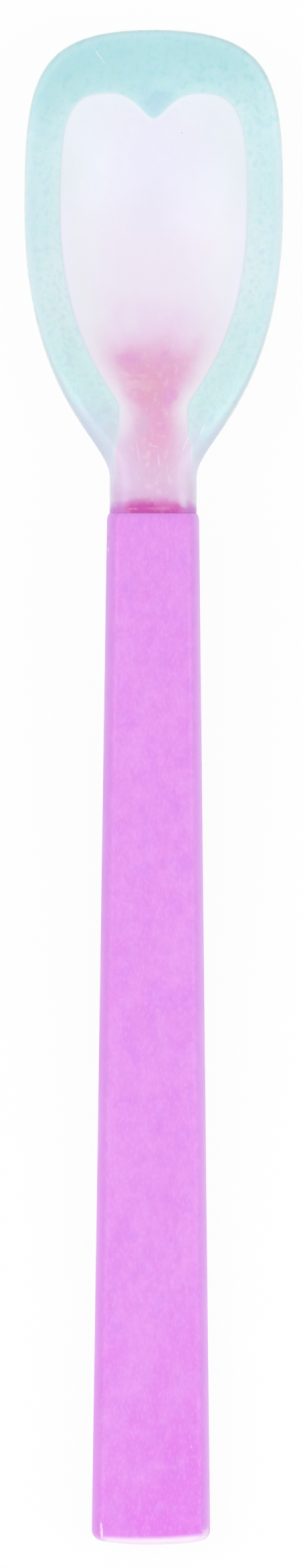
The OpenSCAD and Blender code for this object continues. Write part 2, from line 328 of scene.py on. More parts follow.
def loft_halves(name, halves, split_start=False, creases=()):
    """A closed skin through half rings that are mirrored across the middle plane."""
    points = []
    gaps = []
    for half, gap in halves:
        points.extend(np.concatenate([half, half[-2:0:-1] * mirror]))
        gaps.extend(np.r_[gap, gap[-2:0:-1]])
    n = len(halves[0][0])
    size = 2 * n - 2
    last = len(points) - size
    faces = wrap_rings(len(halves), size)
    top = len(points)
    points.append((halves[-1][0][0] + halves[-1][0][-1]) / 2)
    gaps.append(max(halves[-1][1]))
    faces += [(top, last + (i + 1) % size, last + i) for i in range(size)]
    if split_start:
        faces.append((0, 1, size - 1))
        faces += [(i, i + 1, size - i - 1, size - i) for i in range(1, n - 2)]
        faces.append((n - 2, n - 1, n))
    else:
        points.append((halves[0][0][0] + halves[0][0][-1]) / 2)
        gaps.append(max(halves[0][1]))
        faces += [(top + 1, i, (i + 1) % size) for i in range(size)]
    piece = finish_mesh(name, points, faces, edge_gap=gaps)
    for edge in piece.data.edges:
        rings = {corner // size for corner in edge.vertices}
        if len(rings) == 1 and rings <= set(creases):
            edge.use_edge_sharp = True
    return piece


rib_shares = np.linspace(0, 1, 13)
rib_starts = [shank_len / (rib_count + 1) * (i + 1) - rib_len / 2 for i in range(rib_count)]
rib_stops = [start + rib_len * share for start in rib_starts for share in rib_shares]
ahead_of_ribs = 3.0
behind_ribs = 28.0
shank_stops = [0.0, ahead_of_ribs, *rib_stops, behind_ribs, shank_len]
neck_face = mouth_at - bond_gap
neck_rings = np.linspace(rim_end_at + 0.2, mouth_at - 0.25, 22)
neck_stops = np.r_[rim_end_at + bond_gap, neck_rings, neck_face]
boss_rings = 6
recess_stops = np.linspace(neck_face, mouth_at - boss_len - fit_gap, boss_rings)
core_halves = [blade_half(k) for k in range(len(heart_edge))]
core_halves += [neck_half_ring(d) for d in neck_stops]
core_halves += [boss_half(d, fit_gap) for d in recess_stops]
core_halves += [shank_half(s, 0) for s in [-boss_len - fit_gap, *shank_stops]]
rim_ends = (len(heart_edge) - 1, len(heart_edge))
heart_core = loft_halves("heart_core_piece", core_halves, split_start=True, creases=rim_ends)

# How much it glows from within: nothing beside the rim's bond or in the handle's mouth.
glow_from = 0.3
glow_full = 1.5
glow_most = 0.6
core_gaps = np.array([gap.value for gap in heart_core.data.attributes["edge_gap"].data])
core_backs = tip_y - np.array([point.co.y for point in heart_core.data.vertices]) / MM
blade_glow = ease(glow_from, glow_full, core_gaps)
neck_glow = ease(rim_end_at + 0.2, rim_end_at + 1.2, core_backs)
core_glow = np.maximum(blade_glow, neck_glow)
core_glow *= glow_most * ease(mouth_at - 0.6, mouth_at - 1.8, core_backs)
heart_core.data.attributes.new("glow", "FLOAT", "POINT").data.foreach_set("value", core_glow)


def colour(code):
    parts = [int(code[i:i + 2], 16) / 255 for i in (0, 2, 4)]
    return (*[c / 12.92 if c <= 0.04045 else ((c + 0.055) / 1.055) ** 2.4 for c in parts], 1)


# Node helpers: add makes a node, feed sets or links an input, and the rest hand back an output.
def add(tree, kind, **settings):
    made = tree.nodes.new("ShaderNode" + kind)
    for name, value in settings.items():
        setattr(made, name, value)
    return made


def feed(tree, socket, value):
    if isinstance(value, bpy.types.NodeSocket):
        tree.links.new(value, socket)
    else:
        socket.default_value = value


def calc(tree, operation, *values):
    made = add(tree, "Math", operation=operation)
    for socket, value in zip(made.inputs, values):
        feed(tree, socket, value)
    return made.outputs[0]


def vector_calc(tree, operation, *values):
    made = add(tree, "VectorMath", operation=operation)
    for socket, value in zip(made.inputs, values):
        feed(tree, socket, value)
    return made.outputs["Value" if operation in ("DOT_PRODUCT", "DISTANCE", "LENGTH") else "Vector"]


def fade(tree, value, start, stop, low=0.0, high=1.0):
    made = add(tree, "MapRange", interpolation_type="SMOOTHSTEP")
    names = ("Value", "From Min", "From Max", "To Min", "To Max")
    for name, given in zip(names, (value, start, stop, low, high)):
        feed(tree, made.inputs[name], given)
    return made.outputs["Result"]


# A Mix node keeps its colours at inputs 6 and 7 and at output 2.
def tint(tree, share, under, over):
    made = add(tree, "Mix", data_type="RGBA")
    for socket, value in zip((made.inputs[0], made.inputs[6], made.inputs[7]), (share, under, over)):
        feed(tree, socket, value)
    return made.outputs[2]


# Each coat follows a value: where it starts, where it is full, how strong it gets, and its colour.
def coats(tree, base, rows):
    for value, start, full, most, paint in rows:
        base = tint(tree, fade(tree, value, start, full, 0.0, most), base, paint)
    return base


FLOAT = "NodeSocketFloat"
VECTOR = "NodeSocketVector"


def new_group(name, inputs, outputs):
    tree = bpy.data.node_groups.new(name, "ShaderNodeTree")
    for label, kind, value in inputs:
        tree.interface.new_socket(label, in_out="INPUT", socket_type=kind).default_value = value
    for label in outputs:
        tree.interface.new_socket(label, in_out="OUTPUT", socket_type=FLOAT)
    return tree, (tree.nodes.new("NodeGroupInput").outputs, tree.nodes.new("NodeGroupOutput").inputs)


def use_group(tree, group, **values):
    made = add(tree, "Group", node_tree=group)
    for label, value in values.items():
        feed(tree, made.inputs[label.replace("_", " ").title()], value)
    return made.outputs


# Where a point lies on the spoon, in millimetres: across it, back from its tip, and up.
spoon_place, (_, place_out) = new_group("spoon_place", [], ["Across", "Back", "Up"])
place_axes = add(spoon_place, "SeparateXYZ")
feed(spoon_place, place_axes.inputs[0], add(spoon_place, "TexCoord").outputs["Object"])
feed(spoon_place, place_out["Across"], calc(spoon_place, "DIVIDE", place_axes.outputs["X"], MM))
place_back = calc(spoon_place, "DIVIDE", place_axes.outputs["Y"], MM)
feed(spoon_place, place_out["Back"], calc(spoon_place, "SUBTRACT", tip_y, place_back))
feed(spoon_place, place_out["Up"], calc(spoon_place, "DIVIDE", place_axes.outputs["Z"], MM))

# Uneven colour in the plastic: soft clouds of a given size, drawn out along the spoon.
cloud_inputs = [
    ("Size", FLOAT, 1.0),
    ("Stretch", FLOAT, 1.0),
    ("Depth", FLOAT, 2.0),
    ("Shift", FLOAT, 0.0),
]
plastic_cloud, (cloud_in, cloud_out) = new_group("plastic_cloud", cloud_inputs, ["Cloud"])
cloud_place = use_group(plastic_cloud, spoon_place)
cloud_point = add(plastic_cloud, "CombineXYZ")
cloud_across = calc(plastic_cloud, "DIVIDE", cloud_place["Across"], cloud_in["Size"])
feed(plastic_cloud, cloud_point.inputs["X"], cloud_across)
cloud_long = calc(plastic_cloud, "MULTIPLY", cloud_in["Size"], cloud_in["Stretch"])
cloud_back = calc(plastic_cloud, "DIVIDE", cloud_place["Back"], cloud_long)
feed(plastic_cloud, cloud_point.inputs["Y"], cloud_back)
cloud_up = calc(plastic_cloud, "DIVIDE", cloud_place["Up"], cloud_in["Size"])
cloud_up = calc(plastic_cloud, "ADD", cloud_up, cloud_in["Shift"])
feed(plastic_cloud, cloud_point.inputs["Z"], cloud_up)
cloud_noise = add(plastic_cloud, "TexNoise")
feed(plastic_cloud, cloud_noise.inputs["Vector"], cloud_point.outputs[0])
feed(plastic_cloud, cloud_noise.inputs["Scale"], 1.0)
feed(plastic_cloud, cloud_noise.inputs["Detail"], cloud_in["Depth"])
feed(plastic_cloud, cloud_out["Cloud"], cloud_noise.outputs["Fac"])

# Moulded surface: a little unevenness in the gloss, and the fine grain of the mould.
mould_inputs = [("Grain", FLOAT, 0.3), ("Smoothest", FLOAT, 0.3), ("Roughest", FLOAT, 0.5)]
moulded_skin, (mould_in, mould_out) = new_group("moulded_skin", mould_inputs, ["Roughness", "Height"])
gloss_grains = 9.0
gloss_size = calc(moulded_skin, "MULTIPLY", mould_in["Grain"], gloss_grains)
gloss_cloud = use_group(moulded_skin, plastic_cloud, size=gloss_size, stretch=1.6, depth=4.0)
gloss_ends = (mould_in["Smoothest"], mould_in["Roughest"])
gloss_spread = fade(moulded_skin, gloss_cloud["Cloud"], 0.3, 0.7, *gloss_ends)
feed(moulded_skin, mould_out["Roughness"], gloss_spread)
mould_grain = use_group(moulded_skin, plastic_cloud, size=mould_in["Grain"], stretch=1.2, depth=3.0)
feed(moulded_skin, mould_out["Height"], mould_grain["Cloud"])

# A hairline on the upper side, from one plan point to another: a scratch, a speck, a painted glint or a
# painted shadow line.
line_inputs = [("Start", VECTOR, (0, 0, 0)), ("Stop", VECTOR, (0, 1, 0)), ("Width", FLOAT, 0.1)]
hairline, (line_in, line_out) = new_group("hairline", line_inputs, ["Mask"])
line_place = use_group(hairline, spoon_place)
line_point = add(hairline, "CombineXYZ")
feed(hairline, line_point.inputs["X"], line_place["Across"])
feed(hairline, line_point.inputs["Y"], line_place["Back"])
line_run = vector_calc(hairline, "SUBTRACT", line_in["Stop"], line_in["Start"])
line_from = vector_calc(hairline, "SUBTRACT", line_point.outputs[0], line_in["Start"])
line_dot = vector_calc(hairline, "DOT_PRODUCT", line_from, line_run)
line_long = vector_calc(hairline, "DOT_PRODUCT", line_run, line_run)
line_share = calc(hairline, "DIVIDE", line_dot, line_long)
line_held = add(hairline, "Clamp")
feed(hairline, line_held.inputs["Value"], line_share)
line_scale = add(hairline, "VectorMath", operation="SCALE")
feed(hairline, line_scale.inputs[0], line_run)
feed(hairline, line_scale.inputs["Scale"], line_held.outputs[0])
line_off = vector_calc(hairline, "DISTANCE", line_from, line_scale.outputs["Vector"])
line_left = calc(hairline, "SUBTRACT", 1.0, line_held.outputs[0])
line_taper = calc(hairline, "MULTIPLY", line_held.outputs[0], line_left)
line_swell = 3.0
line_end_width = 0.25
line_taper = calc(hairline, "MULTIPLY_ADD", line_taper, line_swell, line_end_width)
line_wide = calc(hairline, "MULTIPLY", line_in["Width"], line_taper)
line_cloud = use_group(hairline, plastic_cloud, size=0.25, stretch=1.0, depth=2.0)["Cloud"]
line_worn = fade(hairline, line_cloud, 0.35, 0.55, 0.3, 1.0)
line_near = calc(hairline, "MULTIPLY", fade(hairline, line_off, 0.0, line_wide, 1.0, 0.0), line_worn)
line_normal = add(hairline, "SeparateXYZ")
feed(hairline, line_normal.inputs[0], add(hairline, "NewGeometry").outputs["Normal"])
line_upper = fade(hairline, line_normal.outputs["Z"], 0.05, 0.3)
feed(hairline, line_out["Mask"], calc(hairline, "MULTIPLY", line_near, line_upper))

# A patch of colour with soft borders, given by its middle and half sizes on the plan.
patch_inputs = [("Middle", VECTOR, (0, 0, 0)), ("Half", VECTOR, (1, 1, 0)), ("Soft", VECTOR, (1, 1, 1))]
soft_patch, (patch_in, patch_out) = new_group("soft_patch", patch_inputs, ["Mask"])
patch_place = use_group(soft_patch, spoon_place)
patch_point = add(soft_patch, "CombineXYZ")
patch_grain = {"size": 0.6, "stretch": 1.0, "depth": 3.0}
patch_wobble = 1.3
for patch_axis, patch_side, patch_shift in (("X", "Across", 2.0), ("Y", "Back", 9.0)):
    patch_cloud = use_group(soft_patch, plastic_cloud, **patch_grain, shift=patch_shift)
    patch_sway = calc(soft_patch, "SUBTRACT", patch_cloud["Cloud"], 0.5)
    patch_swayed = calc(soft_patch, "MULTIPLY_ADD", patch_sway, patch_wobble, patch_place[patch_side])
    feed(soft_patch, patch_point.inputs[patch_axis], patch_swayed)
patch_from = vector_calc(soft_patch, "SUBTRACT", patch_point.outputs[0], patch_in["Middle"])
patch_size = vector_calc(soft_patch, "ABSOLUTE", patch_from)
patch_over = vector_calc(soft_patch, "SUBTRACT", patch_size, patch_in["Half"])
patch_past = vector_calc(soft_patch, "MAXIMUM", patch_over, (0, 0, 0))
patch_share = vector_calc(soft_patch, "DIVIDE", patch_past, patch_in["Soft"])
patch_off = vector_calc(soft_patch, "LENGTH", patch_share)
feed(soft_patch, patch_out["Mask"], fade(soft_patch, patch_off, 0.0, 1.0, 1.0, 0.0))


def new_material(name):
    material = bpy.data.materials.new(name)
    material.use_nodes = True
    tree = material.node_tree
    return material, tree, tree.nodes["Principled BSDF"].inputs


def stored(tree, label):
    return add(tree, "Attribute", attribute_type="GEOMETRY", attribute_name=label).outputs["Fac"]


def bump(tree, height, strength, distance):
    made = add(tree, "Bump")
    feed(tree, made.inputs["Strength"], strength)
    feed(tree, made.inputs["Distance"], distance * MM)
    feed(tree, made.inputs["Height"], height)
    return made.outputs["Normal"]


# Hairlines, whether scratches, specks, painted glints or a painted shadow line, are given by two plan
# points, a width and a strength.
def paint_hairlines(tree, base, lines, paint):
    for start, stop, width, strength in lines:
        line = use_group(tree, hairline, start=(*start, 0), stop=(*stop, 0), width=width)["Mask"]
        base = tint(tree, calc(tree, "MULTIPLY", line, strength), base, paint)
    return base


# Patches are given by a colour, a middle, half sizes, the width of their borders and a strength.
def patches(tree, base, spots):
    for paint, middle, half, soft, strength in spots:
        mask = use_group(tree, soft_patch, middle=(*middle, 0), half=(*half, 0), soft=(*soft, 1))["Mask"]
        base = tint(tree, calc(tree, "MULTIPLY", mask, strength), base, paint)
    return base


# The plastic is milky white in the heart. Towards the neck it takes a painted pink glow, which stands for
# the handle's pink light carried through the clear plastic and is deepest along the middle; in the band
# where the handle's boss stands inside the neck, the boss shows through.
milk_white = colour("eceaf8")
milk_edge = colour("ecf1f7")
milk_side = colour("f5f4ff")
milk_blush = colour("f4ebfb")
pink_haze = colour("f4dbf2")
glow_pink = colour("eeb5da")
glow_side = colour("f5edf8")
window_pink = colour("f5d2e2")
glow_violet = colour("eaa9e2")
glow_warm = colour("ecaecb")
neck_pink = colour("e4c4e1")
neck_side = colour("e6d2ec")
neck_right = colour("e8d9ed")
neck_edge_tint = colour("e9e6f7")
boss_lilac = colour("d588d8")
boss_pink = colour("cb4cae")
mouth_shadow_pink = colour("bd3fa6")
boss_glint = colour("e58fce")
bond_tint = colour("dfecf1")
# Pale colour for scratches and for painted glints.
scratch_and_glint_white = colour("f8f8fc")
dust = colour("a9a5ba")
glow_depth = 0.8

milky_plastic, tree, shader = new_material("milky_plastic")
where = use_group(tree, spoon_place)
from_edge = stored(tree, "edge_gap")
core_cloud = use_group(tree, plastic_cloud, size=2.6, stretch=1.3, depth=3.0)["Cloud"]
fine_cloud = use_group(tree, plastic_cloud, size=0.6, stretch=1.4, depth=4.0, shift=7.0)["Cloud"]
wander = calc(tree, "MULTIPLY_ADD", core_cloud, 2.0, -1.0)
back = calc(tree, "MULTIPLY_ADD", wander, 1.2, where["Back"])
middle = coats(tree, milk_white, [
    (back, 14.0, 24.0, 1.0, milk_blush),
    (back, 25.0, 30.5, 1.0, pink_haze),
    (back, 29.4, 33.2, 1.0, glow_pink),
    (back, 39.5, 44.5, 1.0, neck_pink),
])
neck_tint = tint(tree, fade(tree, where["Across"], 1.0, 3.0), neck_side, neck_right)
sides = coats(tree, milk_edge, [
    (back, 13.0, 21.0, 1.0, milk_side),
    (back, 26.0, 33.0, 1.0, glow_side),
    (back, 37.0, 42.0, 1.0, neck_tint),
])

# The pink keeps to the middle: inward is 0 at the edge and 1 on the middle line.
off_middle = calc(tree, "SUBTRACT", where["Across"], fade(tree, back, 36.0, 39.0, 0.0, 0.45))
reach = calc(tree, "ADD", from_edge, calc(tree, "ABSOLUTE", off_middle))
inward = calc(tree, "MULTIPLY_ADD", wander, 0.12, calc(tree, "DIVIDE", from_edge, reach))
glow_inward = fade(tree, back, 36.0, 38.5, fade(tree, back, 29.5, 32.5, 0.82, 0.65), 0.9)
middle_share = fade(tree, inward, 0.03, glow_inward)
core_base = tint(tree, middle_share, sides, middle)
core_patches = [
    (milk_blush, (-2.4, 28.6), (0.3, 0.5), (1.4, 1.2), 0.6),
    (glow_violet, (-2.3, 32.4), (0.8, 0.2), (0.9, 0.6), 0.45),
    (glow_violet, (1.2, 32.0), (0.1, 0.2), (0.5, 0.6), 0.5),
    (glow_violet, (1.6, 36.2), (0.3, 0.3), (0.6, 0.6), 0.6),
    (glow_violet, (0.9, 39.2), (0.1, 0.1), (0.4, 0.4), 0.6),
    (glow_pink, (0.2, 40.5), (0.4, 0.3), (0.6, 0.3), 0.6),
    (window_pink, (-1.1, 35.0), (1.1, 0.35), (0.7, 0.4), 0.55),
    (window_pink, (-2.0, 34.7), (0.15, 0.1), (0.3, 0.25), 0.5),
    (window_pink, (-0.5, 35.5), (0.3, 0.1), (0.35, 0.25), 0.5),
    (window_pink, (0.1, 41.1), (0.4, 0.02), (0.3, 0.15), 0.8),
    (window_pink, (0.05, 36.7), (0.1, 0.1), (0.3, 0.25), 0.6),
    (glow_warm, (-0.2, 35.2), (0.4, 1.0), (1.2, 1.4), 0.5),
    (neck_pink, (-1.1, 39.2), (0.3, 0.4), (0.8, 0.9), 0.6),
    (boss_lilac, (-2.7, 46.3), (0.5, 0.2), (1.2, 1.2), 0.16),
]
pink_here = calc(tree, "MULTIPLY", middle_share, fade(tree, back, 30.5, 34.0))
pale_streak = calc(tree, "MULTIPLY", fade(tree, fine_cloud, 0.5, 0.75, 0.0, 0.5), pink_here)
core_base = tint(tree, pale_streak, core_base, window_pink)
violet_streak = calc(tree, "MULTIPLY", fade(tree, fine_cloud, 0.48, 0.25, 0.0, 0.35), pink_here)
core_base = tint(tree, violet_streak, core_base, glow_violet)
core_base = patches(tree, core_base, core_patches)

# The band of the boss, with a faint toe ahead of it and paler sides.
across_square = calc(tree, "POWER", where["Across"], 2.0)
boss_bow = calc(tree, "MULTIPLY_ADD", across_square, -0.03, where["Back"])
boss_bow = calc(tree, "ADD", fine_cloud, boss_bow)
boss_tint = tint(tree, fade(tree, across_square, 4.0, 12.0), boss_pink, boss_lilac)
boss_share = fade(tree, boss_bow, mouth_at - 1.38, mouth_at - 0.18)
boss_toe = fade(tree, boss_bow, mouth_at - 3.0, mouth_at - 0.8, 0.0, 0.15)
core_base = tint(tree, boss_toe, core_base, boss_lilac)
core_base = tint(tree, boss_share, core_base, boss_tint)
boss_patches = [
    (boss_glint, (1.2, 47.0), (0.7, 0.3), (0.7, 0.5), 0.4),
    (neck_right, (3.0, 46.4), (0.15, 0.5), (0.5, 0.5), 0.5),
]
core_base = patches(tree, core_base, boss_patches)
core_base = tint(tree, fade(tree, fine_cloud, 0.5, 0.8, 0.0, 0.15), core_base, scratch_and_glint_white)

# Its edge takes the rim's tint along the bond, and pales beside the neck.
past_rim = fade(tree, where["Back"], rim_end_at - 3.0, rim_end_at)
edge_tint = tint(tree, past_rim, bond_tint, neck_edge_tint)
edge_soft = fade(tree, past_rim, 0.0, 1.0, 0.25, 0.6)
ahead_of_boss = calc(tree, "SUBTRACT", 1.0, boss_share)
edge_share = calc(tree, "MULTIPLY", fade(tree, from_edge, 0.0, edge_soft, 0.7, 0.0), ahead_of_boss)
core_base = tint(tree, edge_share, core_base, edge_tint)
# Pale hairlines ahead of the neck; the first, on the right, is a painted glint.
core_lines = [
    ((3.6, 40.1), (2.9, 41.6), 0.15, 0.7),
    ((-1.7, 40.6), (-1.3, 42.9), 0.12, 0.4),
    ((0.5, 42.0), (0.6, 43.2), 0.2, 0.35),
]
dust_specks = [((2.76, 9.88), (2.8, 9.94), 0.13, 0.9)]
boss_glints = [((-2.5, 47.4), (-1.4, 47.36), 0.2, 0.7), ((-1.2, 47.3), (1.6, 47.34), 0.12, 0.5)]
# A painted shadow line just ahead of the handle's mouth, where the neck meets it.
mouth_shadow_lines = [((-2.3, 47.65), (1.5, 47.65), 0.12, 0.6)]
core_base = paint_hairlines(tree, core_base, core_lines, scratch_and_glint_white)
core_base = paint_hairlines(tree, core_base, dust_specks, dust)
core_base = paint_hairlines(tree, core_base, boss_glints, boss_glint)
core_base = paint_hairlines(tree, core_base, mouth_shadow_lines, mouth_shadow_pink)
core_skin = use_group(tree, moulded_skin, grain=0.5, smoothest=0.3, roughest=0.42)
feed(tree, shader["Base Color"], core_base)
feed(tree, shader["Roughness"], core_skin["Roughness"])
feed(tree, shader["Normal"], bump(tree, core_skin["Height"], strength=0.25, distance=0.02))
feed(tree, shader["Subsurface Weight"], stored(tree, "glow"))
shader["Subsurface Radius"].default_value = (1.0, 1.0, 1.0)
shader["Subsurface Scale"].default_value = glow_depth * MM
shader["IOR"].default_value = 1.49
heart_core.data.materials.append(milky_plastic)
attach(heart_core, "root")
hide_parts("heart_core")


# Soft rim: a band of pale aqua elastomer, moulded round the heart in a second shot.
# Its lip is rounded, and its ends thin out beside the neck.
# It is deepest in colour at the tip and palest along the sides.
lip_share = 0.7
rim_flat_steps = 12
lip_shares = np.linspace(1, -1, 23)[1:-1]


def rim_ring(k):
    out = (outer_edge[k] - heart_edge[k]) / rim_width[k]
    deep = rim_width[k] - bond_gap
    reach = edge_reach(outer_edge[k][1])
    flat = min(reach, lip_share * deep)
    turn = np.arccos(1 - flat / reach)
    flats = np.linspace(deep, flat, rim_flat_steps + 1)
    depths = np.r_[flats, reach * (1 - np.cos(turn * lip_shares)), flats[::-1]]
    side = np.r_[0 * flats + 1, np.sign(lip_shares.round(6)), 0 * flats - 1]
    row = outer_edge[k] - depths[:, None] * out
    faces = place(row, skin(row, depths, side))
    bond = mix(faces[-1], faces[0], (1 - bond_steps[:, None]) / 2)
    edge_gap = np.r_[deep - depths, 0 * bond_steps]
    lip_gap = np.r_[depths, 0 * bond_steps + deep]
    return np.concatenate([faces, bond]), edge_gap, lip_gap


def loft_rim(name, right):
    """A closed skin from one end of the rim round the tip to the other."""
    left = [(ring * mirror, gap, lip) for ring, gap, lip in right[::-1]]
    rings = left + right
    size = len(right[0][0])
    last = (len(rings) - 1) * size
    points, gaps, lips = (np.concatenate(part) for part in zip(*rings))
    tail = len(points)
    end = right[-1][0].mean(0)
    points = np.concatenate([points, [end * mirror, end]])
    faces = wrap_rings(len(rings), size)
    faces += [(tail, i, (i + 1) % size) for i in range(size)]
    faces += [(tail + 1, last + (i + 1) % size, last + i) for i in range(size)]
    return finish_mesh(name, points, faces, edge_gap=np.r_[gaps, 0, 0], lip_gap=np.r_[lips, 0, 0])


soft_rim = loft_rim("soft_rim_piece", [rim_ring(k) for k in range(len(heart_edge))])

aqua_deep = colour("bbe3e6")
aqua_pale = colour("dcf2f4")
aqua_light = colour("e4f5f8")
aqua_low = colour("daf4f5")
aqua_green = colour("bfe9e2")
aqua_blue = colour("c3e1ee")
aqua_speck = colour("a6dde1")
notch_blue = colour("b6d9e8")
rim_lilac = colour("dadfee")
lip_aqua = colour("d2dee3")
lip_highlight = colour("ecf4f6")
rim_end_tint = colour("e8e3f6")

aqua_elastomer, tree, shader = new_material("aqua_elastomer")
where = use_group(tree, spoon_place)
from_edge = stored(tree, "edge_gap")
from_lip = stored(tree, "lip_gap")
rim_cloud = use_group(tree, plastic_cloud, size=1.4, stretch=1.2, depth=4.0)["Cloud"]
green_cloud = use_group(tree, plastic_cloud, size=0.8, stretch=1.2, depth=3.0, shift=5.0)["Cloud"]
speck_cloud = use_group(tree, plastic_cloud, size=0.7, stretch=1.2, depth=3.0, shift=13.0)["Cloud"]
wander = calc(tree, "MULTIPLY_ADD", rim_cloud, 2.0, -1.0)
back = calc(tree, "MULTIPLY_ADD", wander, 2.4, where["Back"])
back = calc(tree, "MULTIPLY_ADD", where["Across"], 0.12, back)
to_neck = calc(tree, "MULTIPLY_ADD", where["Across"], -0.3, back)
lip_most = fade(tree, where["Back"], 5.0, 19.0, 0.4, 0.7)
speck_most = fade(tree, where["Back"], 4.0, 14.0, 0.5, 0.05)
# The outermost edge of the lip is painted with a pale highlight.
rim_base = coats(tree, aqua_deep, [
    (back, 1.5, 12.0, 1.0, aqua_pale),
    (back, 17.0, 23.0, 1.0, aqua_light),
    (back, 26.0, 32.0, 0.8, aqua_low),
    (from_lip, 1.5, 0.2, lip_most, lip_aqua),
    (from_lip, 0.2, 0.05, 0.9, lip_highlight),
    (to_neck, 36.0, 41.5, 1.0, rim_lilac),
    (green_cloud, 0.5, 0.72, 0.35, aqua_green),
    (green_cloud, 0.5, 0.3, 0.35, aqua_blue),
    (speck_cloud, 0.52, 0.28, speck_most, aqua_speck),
])
rim_patches = [(notch_blue, (0.2, 7.6), (0.3, 0.6), (2.6, 2.0), 0.6)]
rim_base = patches(tree, rim_base, rim_patches)
rim_base = coats(tree, rim_base, [
    (from_edge, 0.25, 0.0, 0.7, bond_tint),
    (where["Back"], rim_end_at - 2.0, rim_end_at, 1.0, rim_end_tint),
])
# Pale hairlines on the rim; the last two, on either side near the neck, are painted glints.
rim_lines = [
    ((-6.1, 1.6), (-4.85, 3.3), 0.1, 0.8),
    ((-9.7, 30.6), (-8.9, 32.1), 0.1, 0.4),
    ((9.2, 31.5), (8.5, 33.1), 0.1, 0.4),
    ((6.4, 35.1), (5.9, 36.7), 0.12, 0.4),
    ((5.1, 39.0), (4.65, 40.0), 0.15, 1.0),
    ((-4.15, 38.5), (-3.5, 38.9), 0.1, 0.6),
]
rim_base = paint_hairlines(tree, rim_base, rim_lines, scratch_and_glint_white)
rim_skin = use_group(tree, moulded_skin, grain=0.4, smoothest=0.4, roughest=0.55)
feed(tree, shader["Base Color"], rim_base)
feed(tree, shader["Roughness"], rim_skin["Roughness"])
feed(tree, shader["Normal"], bump(tree, rim_skin["Height"], strength=0.25, distance=0.02))
feed(tree, shader["Subsurface Weight"], fade(tree, from_edge, glow_from, glow_full))
shader["Subsurface Radius"].default_value = (0.8, 1.0, 1.0)
shader["Subsurface Scale"].default_value = glow_depth * MM
shader["IOR"].default_value = 1.43
soft_rim.data.materials.append(aqua_elastomer)
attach(soft_rim, "root")
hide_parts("soft_rim")


# Handle: a flat tapered bar of satin pink polypropylene, moulded over the core's ribbed shank.
# A short boss at its mouth fills the recess in the neck, and a flat under its far end lets it lie still.
# Its sides are rounded, and the far end has round corners and a slight bow.
handle_len = end_at - mouth_at
mouth_step = 0.25
mouth_round = 0.9
mouth_half = neck_half + mouth_step
mouth_thick = neck_thick + 2 * mouth_step
end_half = 5.9
side_edge = 1.3
end_corner = 1.2
end_round = 1.0
end_bow = 0.3
end_top = heel_z + end_thick / 2
bow_reach = 5.0


def round_off(s, reach, drop):
    return drop * (1 - math.sqrt(1 - max(0.0, 1 - s / reach) ** 2))


def handle_half_ring(d):
    step_in = round_off(d - mouth_at, mouth_round, mouth_step)
    half = mix(mouth_half, end_half, (d - mouth_at) / handle_len)
    half -= step_in + round_off(end_at - d, end_corner, end_corner)
    thick = mix(mouth_thick, end_thick, ease(mouth_at, heel_at, d))
    thick -= 2 * step_in + 2 * round_off(end_at - d, end_round, end_round)
    bow = end_bow * max(0.0, 1 - (end_at - d) / bow_reach)
    ring, gap = bar_half(d, handle_mid(d), half, thick, side_edge, bow)
    ring[:, 2] = np.maximum(ring[:, 2], 0)
    return ring, gap


quarter = np.radians(np.linspace(0, 90, 24))
mouth_stops = mouth_at + mouth_round * (1 - np.cos(quarter))
bar_stops = np.linspace(mouth_at + mouth_round, end_at - end_corner, 180)[1:]
end_stops = end_at - end_corner * (1 - np.sin(quarter[1:]))
socket_stops = [-boss_len, *shank_stops]
handle_halves = [shank_half(s, fit_gap) for s in socket_stops[::-1]]
handle_halves += [boss_half(d, 0) for d in np.linspace(mouth_at - boss_len, mouth_at, boss_rings)]
handle_halves += [handle_half_ring(d) for d in np.r_[mouth_stops, bar_stops, end_stops]]
handle = loft_halves("handle_piece", handle_halves)

pink = colour("e691ed")
pink_deep = colour("e67ced")
pink_pale = colour("e9a2f1")
lilac = colour("dd8df0")
grain_light = colour("efa4f6")
grain_deep = colour("dd7ee5")
left_edge_sheen = colour("e09bf1")
low_left_edge_sheen = colour("ea9cf6")
right_edge_lit_sheen = colour("eaadf9")
end_white = colour("f7e6f9")
nick_pink = colour("cc78d2")

pink_plastic, tree, shader = new_material("pink_plastic")
where = use_group(tree, spoon_place)
from_edge = stored(tree, "edge_gap")
broad_cloud = use_group(tree, plastic_cloud, size=3.0, stretch=2.2, depth=3.0)["Cloud"]
mottle_cloud = use_group(tree, plastic_cloud, size=1.5, stretch=1.8, depth=3.0, shift=11.0)["Cloud"]
grain_cloud = use_group(tree, plastic_cloud, size=0.9, stretch=1.6, depth=3.0, shift=17.0)["Cloud"]
fine_cloud = use_group(tree, plastic_cloud, size=0.25, stretch=2.0, depth=3.0, shift=3.0)["Cloud"]
# The rounded sides are painted with a lilac sheen, paler on the right as if lit from that side, and paler
# low down the left edge.
left_sheen = tint(tree, fade(tree, where["Back"], 65.0, 115.0), left_edge_sheen, low_left_edge_sheen)
side_sheen = tint(tree, fade(tree, where["Across"], -2.0, 2.0), left_sheen, right_edge_lit_sheen)
handle_base = coats(tree, pink, [
    (where["Back"], 118.0, 149.0, 1.0, pink_deep),
    (broad_cloud, 0.4, 0.7, 0.5, pink_pale),
    (mottle_cloud, 0.48, 0.72, 0.6, lilac),
    (grain_cloud, 0.48, 0.7, 0.3, grain_light),
    (grain_cloud, 0.5, 0.28, 0.3, grain_deep),
    (fine_cloud, 0.45, 0.75, 0.5, grain_light),
    (fine_cloud, 0.5, 0.25, 0.4, lilac),
    (from_edge, 1.1, 0.05, 0.85, side_sheen),
])

